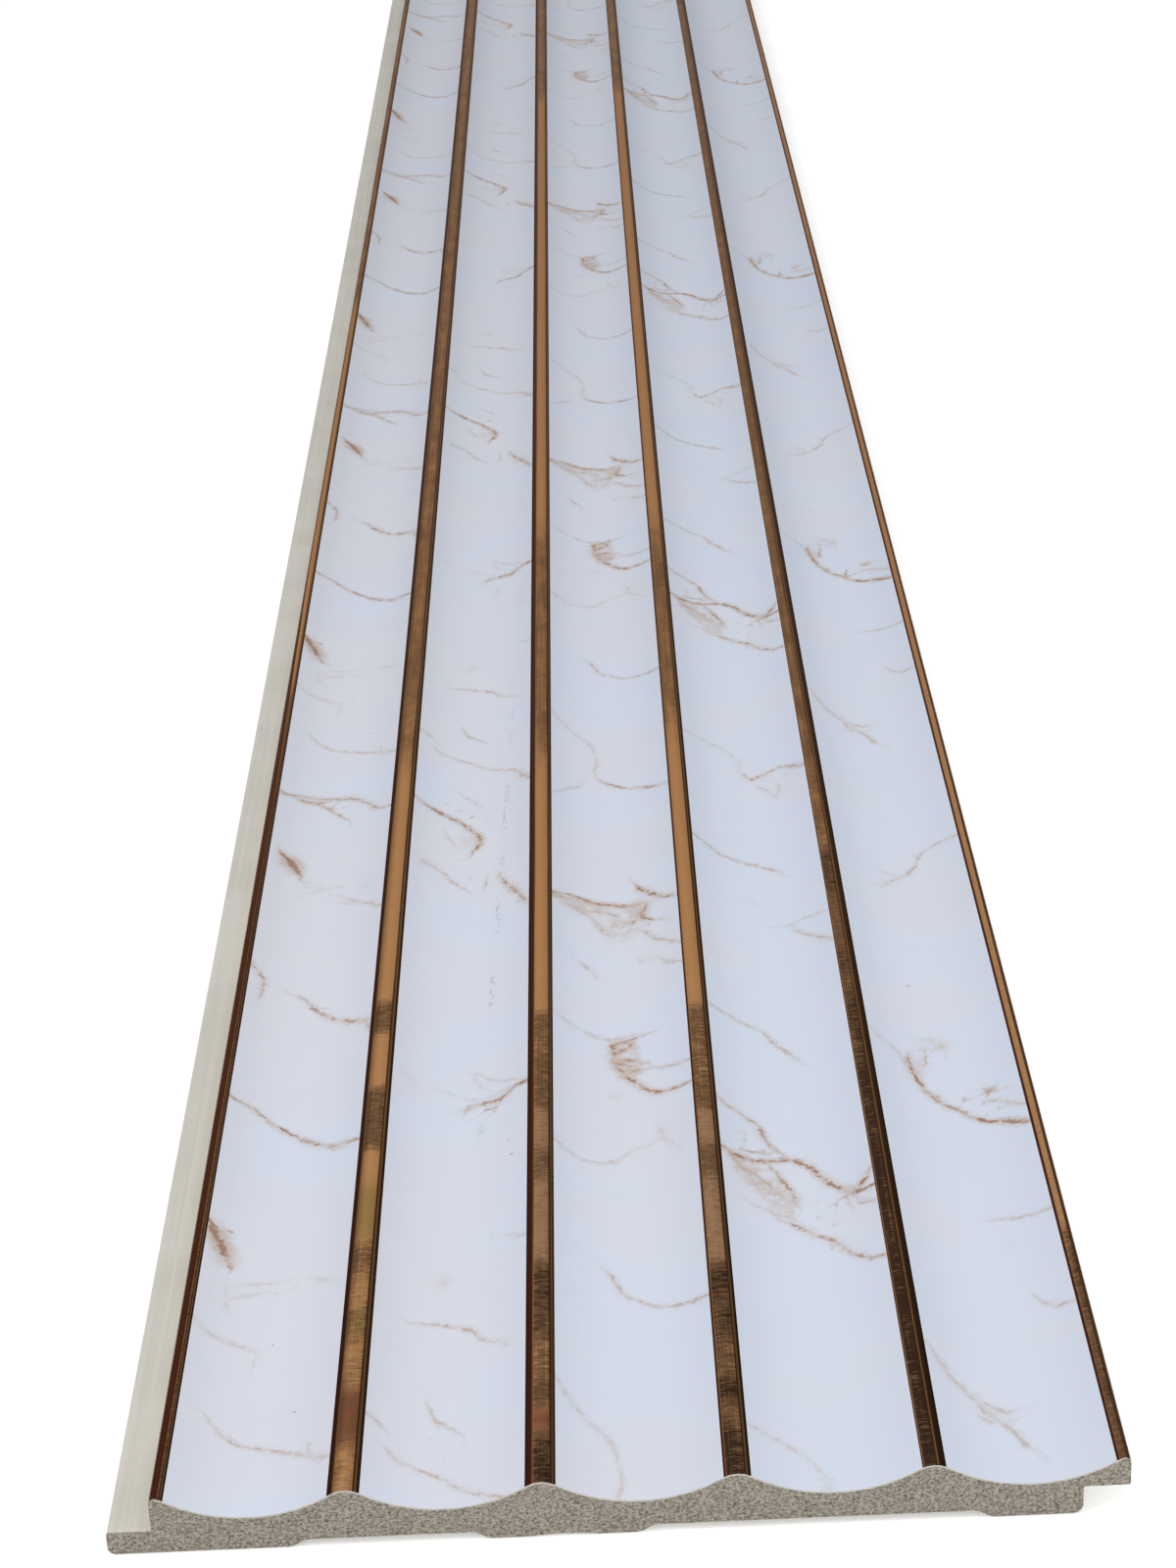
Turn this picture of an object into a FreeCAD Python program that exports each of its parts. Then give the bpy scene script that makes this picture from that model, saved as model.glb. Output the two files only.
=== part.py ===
import FreeCAD, Part
import math
import os

import Sketcher

# Wall panel: one extruded length of foamed polystyrene with a fluted face.
# Millimetres. +Z is the decorated face, +Y runs along the length and +X across it,
# from the tongue towards the lip. The origin is under the middle of the panel's back.

doc = FreeCAD.newDocument("wall_panel")

# Driving sizes: name, value, what it measures.
SIZES = [
    ("panel_length", 2900, "length as sold"),
    ("flute_count", 5, "flutes side by side, which make the cover width"),
    ("flute_pitch", 30, "from one ridge line to the next"),
    ("panel_thickness", 10, "from the back pads to the top of a ridge"),
    ("flute_depth", 4.15, "from the top of a ridge to the bottom of a flute"),
    ("ridge_width", 4.4, "convex top of a ridge, between its two tangent lines"),
    ("ridge_edge_round", 0.8, "round where the outer half ridges turn down into the panel's sides"),
    ("tongue_width", 7, "reach of the tongue past the face"),
    ("tongue_thickness", 4, "thickness of the tongue"),
    ("tongue_top_round", 0.5, "round of the tongue's outer top edge"),
    ("tongue_bottom_round", 1.1, "round of the tongue's outer bottom edge"),
    ("joint_gap", 0.2, "space left beside the next panel's tongue"),
    ("bed_gap", 0.9, "space left over the next panel's tongue"),
    ("lip_round", 0.3, "round under the lip, at its edge and at its root"),
    ("heel_round", 1.5, "round of the back where the rebate starts"),
    ("first_pad_width", 28.5, "back pad under the tongue, from the tongue's edge"),
    ("centre_pad_width", 23.5, "back pad near the middle"),
    ("centre_pad_shift", 11.75, "centre pad's distance from the middle of the face, towards the tongue"),
    ("last_pad_width", 14.2, "back pad beside the rebate"),
    ("recess_depth", 1.25, "depth of the two glue recesses between the pads"),
    ("ramp_run", 1.9, "width of the slope at each side of a recess, before its corners are rounded"),
    ("ramp_round", 3, "round at the foot and at the head of such a slope"),
    ("dip_width", 10.4, "shallow hollow along the centre pad"),
    ("dip_depth", 0.35, "depth of that hollow"),
]

sheet = doc.addObject("Spreadsheet::Sheet", "sizes")
for row, (name, value, meaning) in enumerate(SIZES, start=1):
    sheet.set("A%d" % row, name)
    sheet.set("B%d" % row, str(value))
    sheet.set("C%d" % row, meaning)
    sheet.setAlias("B%d" % row, name)
doc.recompute()

panel = doc.addObject("PartDesign::Body", "panel")
panel.Label = "panel"

# The body's own zero is where the tongue meets the face, and its placement brings the middle
# of the overall width over the origin.
COVER_WIDTH = "sizes.flute_count * sizes.flute_pitch"
LIP_REACH = "(sizes.tongue_width + sizes.joint_gap)"
LIP_HEIGHT = "(sizes.tongue_thickness + sizes.bed_gap)"
REBATE_WALL = "(%s - %s)" % (COVER_WIDTH, LIP_REACH)
panel.setExpression("Placement.Base.x", "(sizes.tongue_width - %s) / 2" % COVER_WIDTH)

# A sketch line's or arc's points, as constraints name them, and the sketch's own zero point.
START, END, CENTRE = range(1, 4)
ORIGIN = (-1, 1)


def section_sketch(name):
    """A sketch of the panel's cross-section, X across and Z up."""
    sketch = panel.newObject("Sketcher::SketchObject", name)
    plane = next(item for item in panel.Origin.OriginFeatures if item.Role == "XZ_Plane")
    sketch.AttachmentSupport = [(plane, "")]
    sketch.MapMode = "FlatFace"
    return sketch


def tie(sketch, kind, *places):
    """A constraint with no size of its own."""
    return sketch.addConstraint(Sketcher.Constraint(kind, *places))


def dimension(sketch, name, kind, places, expression):
    """A size or a distance, positive from the first place to the second, worked out from the sheet."""
    index = sketch.addConstraint(Sketcher.Constraint(kind, *places, size(sketch, expression)))
    sketch.renameConstraint(index, name)
    sketch.setExpression("Constraints." + name, expression)


def size(owner, expression):
    return float(owner.evalExpression(expression))


def line(sketch, first, second):
    return sketch.addGeometry(Part.LineSegment(FreeCAD.Vector(*first, 0), FreeCAD.Vector(*second, 0)))


def arc(sketch, centre, radius, first_angle, last_angle):
    circle = Part.Circle(FreeCAD.Vector(*centre, 0), FreeCAD.Vector(0, 0, 1), radius)
    return sketch.addGeometry(Part.ArcOfCircle(circle, first_angle, last_angle))


def outline(sketch, corners):
    """A closed outline of straight sides through the corners, each side joined to the next."""
    sides = [line(sketch, first, second) for first, second in zip(corners, corners[1:] + corners[:1])]
    for side, following in zip(sides, sides[1:] + sides[:1]):
        tie(sketch, "Coincident", side, END, following, START)
    return sides


def extrude(kind, name, sketch):
    """Material added or cut along the panel's whole length, half to each side of the sketch."""
    feature = panel.newObject("PartDesign::" + kind, name)
    feature.Profile = sketch
    feature.SideType = "Symmetric"
    feature.setExpression("Length", "sizes.panel_length")
    feature.Refine = True
    doc.recompute()
    return feature


def cut(name, sketch):
    """A pocket along the whole length, which must take material away."""
    before = panel.Tip.Shape.Volume
    pocket = extrude("Pocket", name, sketch)
    if not pocket.Shape.Volume < before:
        raise ValueError("the pocket %s cuts nothing" % name)
    return pocket


def round_edges(name, radius, places):
    """A round on each edge that runs along the panel through one of the places, given as x, z."""
    base = panel.Tip
    names = []
    for number, edge in enumerate(base.Shape.Edges, start=1):
        ends = [vertex.Point for vertex in edge.Vertexes]
        if len(ends) != 2 or abs(ends[0].y - ends[1].y) < size(sheet, "sizes.panel_length") / 2:
            continue
        if any(all(math.hypot(end.x - x, end.z - z) < 1e-4 for end in ends) for x, z in places):
            names.append("Edge%d" % number)
    if len(names) != len(places):
        raise ValueError("%s finds %d of %d edges" % (name, len(names), len(places)))
    fillet = panel.newObject("PartDesign::Fillet", name)
    fillet.Base = (base, names)
    fillet.setExpression("Radius", "sizes." + radius)
    doc.recompute()
    return fillet


# One flute with half a ridge at each side: a concave arc that runs tangent into two convex ones.
def flute_section():
    pitch = size(sheet, "sizes.flute_pitch")
    top = size(sheet, "sizes.panel_thickness")
    depth = size(sheet, "sizes.flute_depth")
    half_ridge = size(sheet, "sizes.ridge_width / 2")
    slope = 2 * math.atan(2 * depth / pitch)
    ridge_radius = half_ridge / math.sin(slope)
    flute_radius = (pitch / 2 - half_ridge) / math.sin(slope)
    up = math.pi / 2
    down = math.pi * 3 / 2

    sketch = section_sketch("flute_section")
    base = line(sketch, (0, 0), (pitch, 0))
    right = line(sketch, (pitch, 0), (pitch, top))
    left = line(sketch, (0, top), (0, 0))
    right_ridge = arc(sketch, (pitch, top - ridge_radius), ridge_radius, up, up + slope)
    flute = arc(sketch, (pitch / 2, top - depth + flute_radius), flute_radius, down - slope, down + slope)
    left_ridge = arc(sketch, (0, top - ridge_radius), ridge_radius, up - slope, up)
    bottom = sketch.addGeometry(Part.Point(FreeCAD.Vector(pitch / 2, top - depth, 0)), True)

    tie(sketch, "Coincident", base, START, *ORIGIN)
    tie(sketch, "Coincident", base, END, right, START)
    tie(sketch, "Coincident", right, END, right_ridge, START)
    tie(sketch, "Tangent", right_ridge, END, flute, END)
    tie(sketch, "Tangent", flute, START, left_ridge, START)
    tie(sketch, "Coincident", left_ridge, END, left, START)
    tie(sketch, "Coincident", left, END, base, START)
    tie(sketch, "Horizontal", base)
    tie(sketch, "Vertical", right)
    tie(sketch, "Vertical", left)
    tie(sketch, "Equal", left, right)
    tie(sketch, "Equal", left_ridge, right_ridge)
    tie(sketch, "PointOnObject", left_ridge, CENTRE, left)
    tie(sketch, "PointOnObject", right_ridge, CENTRE, right)
    tie(sketch, "PointOnObject", bottom, START, flute)
    tie(sketch, "Vertical", bottom, START, flute, CENTRE)
    dimension(sketch, "pitch", "DistanceX", (base, START, base, END), "sizes.flute_pitch")
    dimension(sketch, "thickness", "DistanceY", (right, START, right, END), "sizes.panel_thickness")
    dimension(sketch, "depth", "DistanceY", (bottom, START, left, START), "sizes.flute_depth")
    dimension(sketch, "half_ridge", "DistanceX", (left, START, flute, START), "sizes.ridge_width / 2")
    return sketch


flute = extrude("Pad", "flute", flute_section())

flutes = panel.newObject("PartDesign::LinearPattern", "flutes")
flutes.Originals = [flute]
flutes.Direction = (flute.Profile[0], ["H_Axis"])
flutes.Mode = "Spacing"
flutes.setExpression("Offset", "sizes.flute_pitch")
flutes.setExpression("Occurrences", "sizes.flute_count")
flutes.Refine = True
panel.Tip = flutes
doc.recompute()


# The tongue reaches out past the face's first side, and the next panel's lip covers it.
def tongue_section():
    width = size(sheet, "sizes.tongue_width")
    thickness = size(sheet, "sizes.tongue_thickness")
    sketch = section_sketch("tongue_section")
    base, root, top, outer = outline(sketch, [(-width, 0), (0, 0), (0, thickness), (-width, thickness)])
    tie(sketch, "Coincident", base, END, *ORIGIN)
    tie(sketch, "Horizontal", base)
    tie(sketch, "Vertical", root)
    tie(sketch, "Horizontal", top)
    tie(sketch, "Vertical", outer)
    dimension(sketch, "width", "DistanceX", (base, START, base, END), "sizes.tongue_width")
    dimension(sketch, "thickness", "DistanceY", (root, START, root, END), "sizes.tongue_thickness")
    return sketch


extrude("Pad", "tongue", tongue_section())


# The rebate at the other side leaves the lip, and takes the next panel's tongue with its gaps.
def rebate_section():
    wall = size(sheet, REBATE_WALL)
    side = size(sheet, COVER_WIDTH)
    height = size(sheet, LIP_HEIGHT)
    sketch = section_sketch("rebate_section")
    base, edge, ceiling, root = outline(sketch, [(wall, 0), (side, 0), (side, height), (wall, height)])
    tie(sketch, "PointOnObject", base, START, -1)
    tie(sketch, "Horizontal", base)
    tie(sketch, "Vertical", edge)
    tie(sketch, "Horizontal", ceiling)
    tie(sketch, "Vertical", root)
    dimension(sketch, "wall", "DistanceX", (*ORIGIN, base, START), REBATE_WALL)
    dimension(sketch, "reach", "DistanceX", (base, START, base, END), LIP_REACH)
    dimension(sketch, "height", "DistanceY", (edge, START, edge, END), LIP_HEIGHT)
    return sketch


cut("rebate", rebate_section())

# The back: three pads that touch the wall, and two shallow glue recesses between them.
FIRST_PAD_EDGE = "(sizes.first_pad_width - sizes.tongue_width)"
CENTRE_PAD_MIDDLE = "(%s / 2 - sizes.centre_pad_shift)" % COVER_WIDTH
CENTRE_PAD_START = "(%s - sizes.centre_pad_width / 2)" % CENTRE_PAD_MIDDLE
CENTRE_PAD_END = "(%s + sizes.centre_pad_width / 2)" % CENTRE_PAD_MIDDLE
LAST_PAD_EDGE = "(%s - sizes.last_pad_width)" % REBATE_WALL


def recess_section(name, first_edge, last_edge):
    first = size(sheet, first_edge)
    last = size(sheet, last_edge)
    depth = size(sheet, "sizes.recess_depth")
    run = size(sheet, "sizes.ramp_run")
    sketch = section_sketch(name)
    corners = [(first, 0), (last, 0), (last - run, depth), (first + run, depth)]
    base, last_ramp, ceiling, first_ramp = outline(sketch, corners)
    tie(sketch, "PointOnObject", base, START, -1)
    tie(sketch, "Horizontal", base)
    tie(sketch, "Horizontal", ceiling)
    tie(sketch, "Equal", first_ramp, last_ramp)
    dimension(sketch, "first_edge", "DistanceX", (*ORIGIN, base, START), first_edge)
    dimension(sketch, "last_edge", "DistanceX", (*ORIGIN, base, END), last_edge)
    dimension(sketch, "run", "DistanceX", (base, START, ceiling, END), "sizes.ramp_run")
    dimension(sketch, "depth", "DistanceY", (base, START, ceiling, END), "sizes.recess_depth")
    return sketch


RECESSES = [("first_recess", FIRST_PAD_EDGE, CENTRE_PAD_START), ("second_recess", CENTRE_PAD_END, LAST_PAD_EDGE)]
ramp_corners = []
for name, first_edge, last_edge in RECESSES:
    cut(name, recess_section(name + "_section", first_edge, last_edge))
    first = size(sheet, first_edge)
    last = size(sheet, last_edge)
    run = size(sheet, "sizes.ramp_run")
    depth = size(sheet, "sizes.recess_depth")
    ramp_corners += [(first, 0), (first + run, depth), (last - run, depth), (last, 0)]


# A shallow hollow runs along the middle of the centre pad.
def dip_section():
    middle = size(sheet, CENTRE_PAD_MIDDLE)
    width = size(sheet, "sizes.dip_width")
    depth = size(sheet, "sizes.dip_depth")
    radius = (width ** 2 / 4 + depth ** 2) / (2 * depth)
    half_angle = math.asin(width / 2 / radius)
    up = math.pi / 2
    sketch = section_sketch("dip_section")
    base = line(sketch, (middle - width / 2, 0), (middle + width / 2, 0))
    hollow = arc(sketch, (middle, depth - radius), radius, up - half_angle, up + half_angle)
    crest = sketch.addGeometry(Part.Point(FreeCAD.Vector(middle, depth, 0)), True)
    tie(sketch, "Coincident", base, START, hollow, END)
    tie(sketch, "Coincident", base, END, hollow, START)
    tie(sketch, "PointOnObject", base, START, -1)
    tie(sketch, "Horizontal", base)
    tie(sketch, "PointOnObject", crest, START, hollow)
    tie(sketch, "Vertical", crest, START, hollow, CENTRE)
    dimension(sketch, "middle", "DistanceX", (*ORIGIN, crest, START), CENTRE_PAD_MIDDLE)
    dimension(sketch, "width", "DistanceX", (base, START, base, END), "sizes.dip_width")
    dimension(sketch, "depth", "DistanceY", (*ORIGIN, crest, START), "sizes.dip_depth")
    return sketch


cut("dip", dip_section())

# Rounds, which an extruded foam section has at every outer corner.
top = size(sheet, "sizes.panel_thickness")
side = size(sheet, COVER_WIDTH)
tongue_edge = -size(sheet, "sizes.tongue_width")
rebate_wall = size(sheet, REBATE_WALL)
lip_height = size(sheet, LIP_HEIGHT)
round_edges("ramp_rounds", "ramp_round", ramp_corners)
round_edges("ridge_edge_rounds", "ridge_edge_round", [(0, top), (side, top)])
round_edges("tongue_top", "tongue_top_round", [(tongue_edge, size(sheet, "sizes.tongue_thickness"))])
round_edges("tongue_bottom", "tongue_bottom_round", [(tongue_edge, 0)])
round_edges("lip_rounds", "lip_round", [(side, lip_height), (rebate_wall, lip_height)])
round_edges("heel", "heel_round", [(rebate_wall, 0)])

for item in doc.Objects:
    if any(word in item.State for word in ("Invalid", "Error")):
        raise ValueError("%s could not be built" % item.Label)
for item in doc.Objects:
    if item.TypeId == "Sketcher::SketchObject" and item.solve() != 0:
        raise ValueError("the sketch %s does not solve" % item.Label)
shape = panel.Shape
if shape.isNull() or not shape.isValid() or len(shape.Solids) != 1:
    raise ValueError("the panel is not one valid solid")

os.makedirs("parts", exist_ok=True)
shape.exportStep(os.path.join("parts", panel.Label + ".step"))
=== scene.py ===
import math

import bpy
import numpy as np
from mathutils import Matrix, Vector, geometry, noise


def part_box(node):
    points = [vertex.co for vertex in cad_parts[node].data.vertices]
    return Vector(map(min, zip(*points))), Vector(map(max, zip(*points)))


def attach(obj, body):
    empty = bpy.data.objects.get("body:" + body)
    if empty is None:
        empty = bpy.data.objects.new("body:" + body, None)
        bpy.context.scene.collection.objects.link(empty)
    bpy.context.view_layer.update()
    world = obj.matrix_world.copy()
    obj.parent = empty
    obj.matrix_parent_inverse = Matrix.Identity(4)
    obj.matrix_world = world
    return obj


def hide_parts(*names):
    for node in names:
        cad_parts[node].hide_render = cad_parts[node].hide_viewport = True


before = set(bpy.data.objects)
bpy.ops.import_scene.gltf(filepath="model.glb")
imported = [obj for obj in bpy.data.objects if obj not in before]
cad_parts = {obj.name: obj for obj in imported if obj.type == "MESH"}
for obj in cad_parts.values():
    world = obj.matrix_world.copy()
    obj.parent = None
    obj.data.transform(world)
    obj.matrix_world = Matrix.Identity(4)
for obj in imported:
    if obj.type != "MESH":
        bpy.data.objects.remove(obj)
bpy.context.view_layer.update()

low, high = ([value * 1000 for value in corner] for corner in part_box("panel"))

# Camera
# It stands before the sawn near end, a little above the panel, and looks down along its length. Its place is
# in millimetres and its turns are in degrees.
PHOTO_HEIGHT = 1600
FOCAL_PIXELS = 3510
CAMERA_BEHIND_END = 431.4
CAMERA_HEIGHT = 325.2
CAMERA_ACROSS = 4.1
CAMERA_TURNS = (65.253, 2.478, -0.7)

camera_data = bpy.data.cameras.new("camera")
camera_data.sensor_width = 36
camera_data.lens = camera_data.sensor_width * FOCAL_PIXELS / PHOTO_HEIGHT
camera_data.clip_start = 0.01
camera_data.clip_end = 50
camera = bpy.data.objects.new("camera", camera_data)
camera.location = (CAMERA_ACROSS / 1000, (low[1] - CAMERA_BEHIND_END) / 1000, CAMERA_HEIGHT / 1000)
camera.rotation_euler = [math.radians(angle) for angle in CAMERA_TURNS]
bpy.context.collection.objects.link(camera)
bpy.context.scene.camera = camera

# The panel's mesh
# One length of foamed polystyrene, drawn through a die that gives the flutes, the ridges, the tongue, the
# lip and the recessed back at once, and sawn square at both ends. All sizes are in millimetres.
FLUTES = 5
PITCH = 30
RIDGE_WIDTH = 4.4
FLUTE_DEPTH = 4.15
TONGUE_WIDTH = 7
TONGUE_THICKNESS = 4
LIP_REACH = 7.2
LIP_HEIGHT = 4.9
FLUTE_COLUMNS = 9
RIDGE_COLUMNS = 4
ROWS = 1060

top = high[2]
left_wall = low[0] + TONGUE_WIDTH
right_wall = high[0]
slope = 2 * math.atan(2 * FLUTE_DEPTH / PITCH)
ridge_radius = RIDGE_WIDTH / 2 / math.sin(slope)
flute_radius = (PITCH - RIDGE_WIDTH) / 2 / math.sin(slope)
upright = math.pi / 2


def arc(centre, radius, first, last, steps):
    """Points on an arc, from one angle to another in radians, ends included."""
    angles = np.linspace(first, last, steps + 1)
    return [(centre[0] + radius * math.cos(a), centre[1] + radius * math.sin(a)) for a in angles]


def ridge(middle, first, last, steps):
    """A ridge's convex top, from one lean to another, both measured from upright."""
    return arc((middle, top - ridge_radius), ridge_radius, upright - first, upright - last, steps)


def flute(middle):
    """A flute's concave hollow, from one edge to the other."""
    centre = (middle, top - FLUTE_DEPTH + flute_radius)
    lowest = math.pi * 3 / 2
    return arc(centre, flute_radius, lowest - slope, lowest + slope, FLUTE_COLUMNS)


def height_at(x):
    """The face's height at one place across, on a flute or on a ridge."""
    past_wall = (x - left_wall) % PITCH
    from_ridge = min(past_wall, PITCH - past_wall)
    if from_ridge < RIDGE_WIDTH / 2:
        return top - ridge_radius + math.sqrt(ridge_radius ** 2 - from_ridge ** 2)
    return top - FLUTE_DEPTH + flute_radius - math.sqrt(flute_radius ** 2 - (PITCH / 2 - from_ridge) ** 2)


EDGE_ROUND = 0.8
EDGE_STEPS = 4
EDGE_ZONE = 1
edge_rise = math.sqrt((ridge_radius - EDGE_ROUND) ** 2 - EDGE_ROUND ** 2)
edge_lean = math.atan2(EDGE_ROUND, edge_rise)
edge_height = top - ridge_radius + edge_rise
left_round = arc((left_wall + EDGE_ROUND, edge_height), EDGE_ROUND, math.pi, upright - edge_lean, EDGE_STEPS)
right_round = arc((right_wall - EDGE_ROUND, edge_height), EDGE_ROUND, upright + edge_lean, 0, EDGE_STEPS)

# The face from wall to wall. The foil was laid a little off the ridges, so its edges differ from ridge to
# ridge. They are given in millimetres left and right of each ridge's middle, and get points of their own.
FOIL_EDGES = [(9, 2.2), (2.8, 2.25), (2.5, 2.25), (2.1, 2.1), (1.8, 1.85), (2.2, 9)]
SAME_PLACE = 0.02
face_points = left_round + ridge(left_wall, edge_lean, slope, RIDGE_COLUMNS // 2)[1:]
for number in range(FLUTES):
    start = left_wall + number * PITCH
    face_points += flute(start + PITCH / 2)[1:]
    if number < FLUTES - 1:
        face_points += ridge(start + PITCH, -slope, slope, RIDGE_COLUMNS)[1:]
face_points += ridge(right_wall, -slope, -edge_lean, RIDGE_COLUMNS // 2)[1:] + right_round[1:]
for number, edges in enumerate(FOIL_EDGES):
    middle = left_wall + number * PITCH
    for edge_x in (middle - edges[0], middle + edges[1]):
        close = min(abs(x - edge_x) for x, z in face_points) < SAME_PLACE
        if left_wall < edge_x < right_wall and not close:
            face_points.append((edge_x, height_at(edge_x)))

# The points of the two rounded edges keep their order, and those between them are sorted from left to right.
left_zone = left_wall + EDGE_ZONE
right_zone = right_wall - EDGE_ZONE
left_points = [point for point in face_points if point[0] <= left_zone]
middle_points = [point for point in face_points if left_zone < point[0] < right_zone]
right_points = [point for point in face_points if point[0] >= right_zone]
face_points = left_points + sorted(middle_points) + right_points


def ridge_near(x):
    """The number of the ridge nearest to a place across, and how far right of its middle that place is."""
    number = round((x - left_wall) / PITCH)
    return number, x - left_wall - number * PITCH


foil_columns = []
for (first_x, _), (second_x, _) in zip(face_points, face_points[1:]):
    number, aside = ridge_near((first_x + second_x) / 2)
    foil_columns.append(-FOIL_EDGES[number][0] < aside < FOIL_EDGES[number][1])


def rounded(corners, steps=3):
    """The corners of an outline, each cut by an arc of its own radius. The end points stay as they are."""
    points = [corners[0][:2]]
    for before, corner, after in zip(corners, corners[1:], corners[2:]):
        radius = corner[2]
        here = Vector(corner[:2])
        back = (Vector(before[:2]) - here).normalized()
        ahead = (Vector(after[:2]) - here).normalized()
        half = back.angle(ahead) / 2
        centre = here + (back + ahead).normalized() * radius / math.sin(half)
        touch = radius / math.tan(half)
        first = here + back * touch - centre
        last = here + ahead * touch - centre
        turn_angle = first.angle_signed(last)
        for step in range(steps + 1):
            spoke = first.copy()
            spoke.rotate(Matrix.Rotation(-turn_angle * step / steps, 2))
            points.append(tuple(centre + spoke))
    return points + [corners[-1][:2]]


# The rest of the outline, from the right wall under the lip, along the back and round the tongue.
FIRST_PAD_WIDTH = 28.5
CENTRE_PAD_HALF = 11.75
LAST_PAD_WIDTH = 14.2
DIP_HALF = 5.2
DIP_DEPTH = 0.35
DIP_STEPS = 8
RECESS = 1.25
RAMP = 1.9
RAMP_ROUND = 3
LIP_ROUND = 0.3
HEEL_ROUND = 1.5
TONGUE_FOOT_ROUND = 1.1
TONGUE_TIP_ROUND = 0.5
rebate_wall = right_wall - LIP_REACH
last_pad = rebate_wall - LAST_PAD_WIDTH
centre_pad = (left_wall + right_wall) / 2 - CENTRE_PAD_HALF
first_pad = low[0] + FIRST_PAD_WIDTH
dip_radius = (DIP_HALF ** 2 + DIP_DEPTH ** 2) / (2 * DIP_DEPTH)
dip_angle = math.asin(DIP_HALF / dip_radius)
dip_centre = (centre_pad, DIP_DEPTH - dip_radius)
dip = arc(dip_centre, dip_radius, upright - dip_angle, upright + dip_angle, DIP_STEPS)
back_points = rounded([
    (right_wall, edge_height, 0),
    (right_wall, LIP_HEIGHT, LIP_ROUND),
    (rebate_wall, LIP_HEIGHT, LIP_ROUND),
    (rebate_wall, 0, HEEL_ROUND),
    (last_pad, 0, RAMP_ROUND),
    (last_pad - RAMP, RECESS, RAMP_ROUND),
    (centre_pad + CENTRE_PAD_HALF + RAMP, RECESS, RAMP_ROUND),
    (centre_pad + CENTRE_PAD_HALF, 0, RAMP_ROUND),
    (centre_pad + DIP_HALF, 0, 0),
]) + dip[1:-1] + rounded([
    (centre_pad - DIP_HALF, 0, 0),
    (centre_pad - CENTRE_PAD_HALF, 0, RAMP_ROUND),
    (centre_pad - CENTRE_PAD_HALF - RAMP, RECESS, RAMP_ROUND),
    (first_pad + RAMP, RECESS, RAMP_ROUND),
    (first_pad, 0, RAMP_ROUND),
    (low[0], 0, TONGUE_FOOT_ROUND),
    (low[0], TONGUE_THICKNESS, TONGUE_TIP_ROUND),
    (left_wall, TONGUE_THICKNESS, 0),
])
back_points = back_points[1:]

# Vertices: the face as a grid of rows along the panel, and the rest of the outline at both ends only.
PRINT, FOIL, SKIN, SAWN = range(4)
face_x, face_z = np.array(face_points).T
columns = len(face_points)
row_y = np.linspace(low[1], high[1], ROWS + 1)
grid = np.empty((ROWS + 1, columns, 3))
grid[..., 0] = face_x
grid[..., 1] = row_y[:, None]
grid[..., 2] = face_z
vertices = [tuple(corner) for corner in grid.reshape(-1, 3)]
ends = {}
for end_y, row in ((low[1], 0), (high[1], ROWS)):
    first_new = len(vertices)
    vertices += [(x, end_y, z) for x, z in back_points]
    face_row = [row * columns + column for column in range(columns)]
    ends[row] = face_row + list(range(first_new, len(vertices)))

faces = []
finishes = []
for row in range(ROWS):
    for column, foiled in enumerate(foil_columns):
        corner = row * columns + column
        faces.append((corner, corner + 1, corner + 1 + columns, corner + columns))
        finishes.append(FOIL if foiled else PRINT)

near_loop = ends[0]
far_loop = ends[ROWS]
for first, second in zip(range(columns, len(near_loop) - 1), range(columns + 1, len(near_loop))):
    faces.append((near_loop[first], near_loop[second], far_loop[second], far_loop[first]))
    finishes.append(SKIN)
left_sides = [row * columns for row in range(ROWS + 1)]
right_sides = [side + columns - 1 for side in reversed(left_sides)]
faces.append(tuple([near_loop[-1]] + left_sides + [far_loop[-1]]))
faces.append(tuple([far_loop[columns]] + right_sides + [near_loop[columns]]))
finishes += [SKIN, SKIN]

# The sawn ends. The saw tears the cells, so each end is a net of small triangles with a fine relief, and
# only the dense skin under the print stays smooth.
GRAIN_STEP = 0.44
GRAIN_SHIFT = 0.12
GRAIN_DEPTH = 0.16
GRAIN_GAP = 0.2
SKIN_DEPTH = 0.3
SKIN_DIP = 0.02
outline = np.array(face_points + back_points)
closed_outline = np.vstack([outline, outline[:1]])
upper_line = outline[EDGE_STEPS:len(face_points) - EDGE_STEPS]
skin_depth = {}


def span_at(x):
    """The section's lowest and highest point at one place across."""
    before = closed_outline[:-1]
    after = closed_outline[1:]
    crosses = (before[:, 0] - x) * (after[:, 0] - x) < 0
    share = (x - before[crosses, 0]) / (after[crosses, 0] - before[crosses, 0])
    heights = before[crosses, 1] + share * (after[crosses, 1] - before[crosses, 1])
    return heights.min(), heights.max()


def distance_to(points, line):
    """How far each point is from a line of straight pieces."""
    start = line[:-1][None]
    along = (line[1:] - line[:-1])[None]
    offset = points[:, None] - start
    share = np.clip((offset * along).sum(2) / np.maximum((along ** 2).sum(2), 1e-12), 0, 1)
    return np.linalg.norm(offset - share[..., None] * along, axis=2).min(1)


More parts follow.
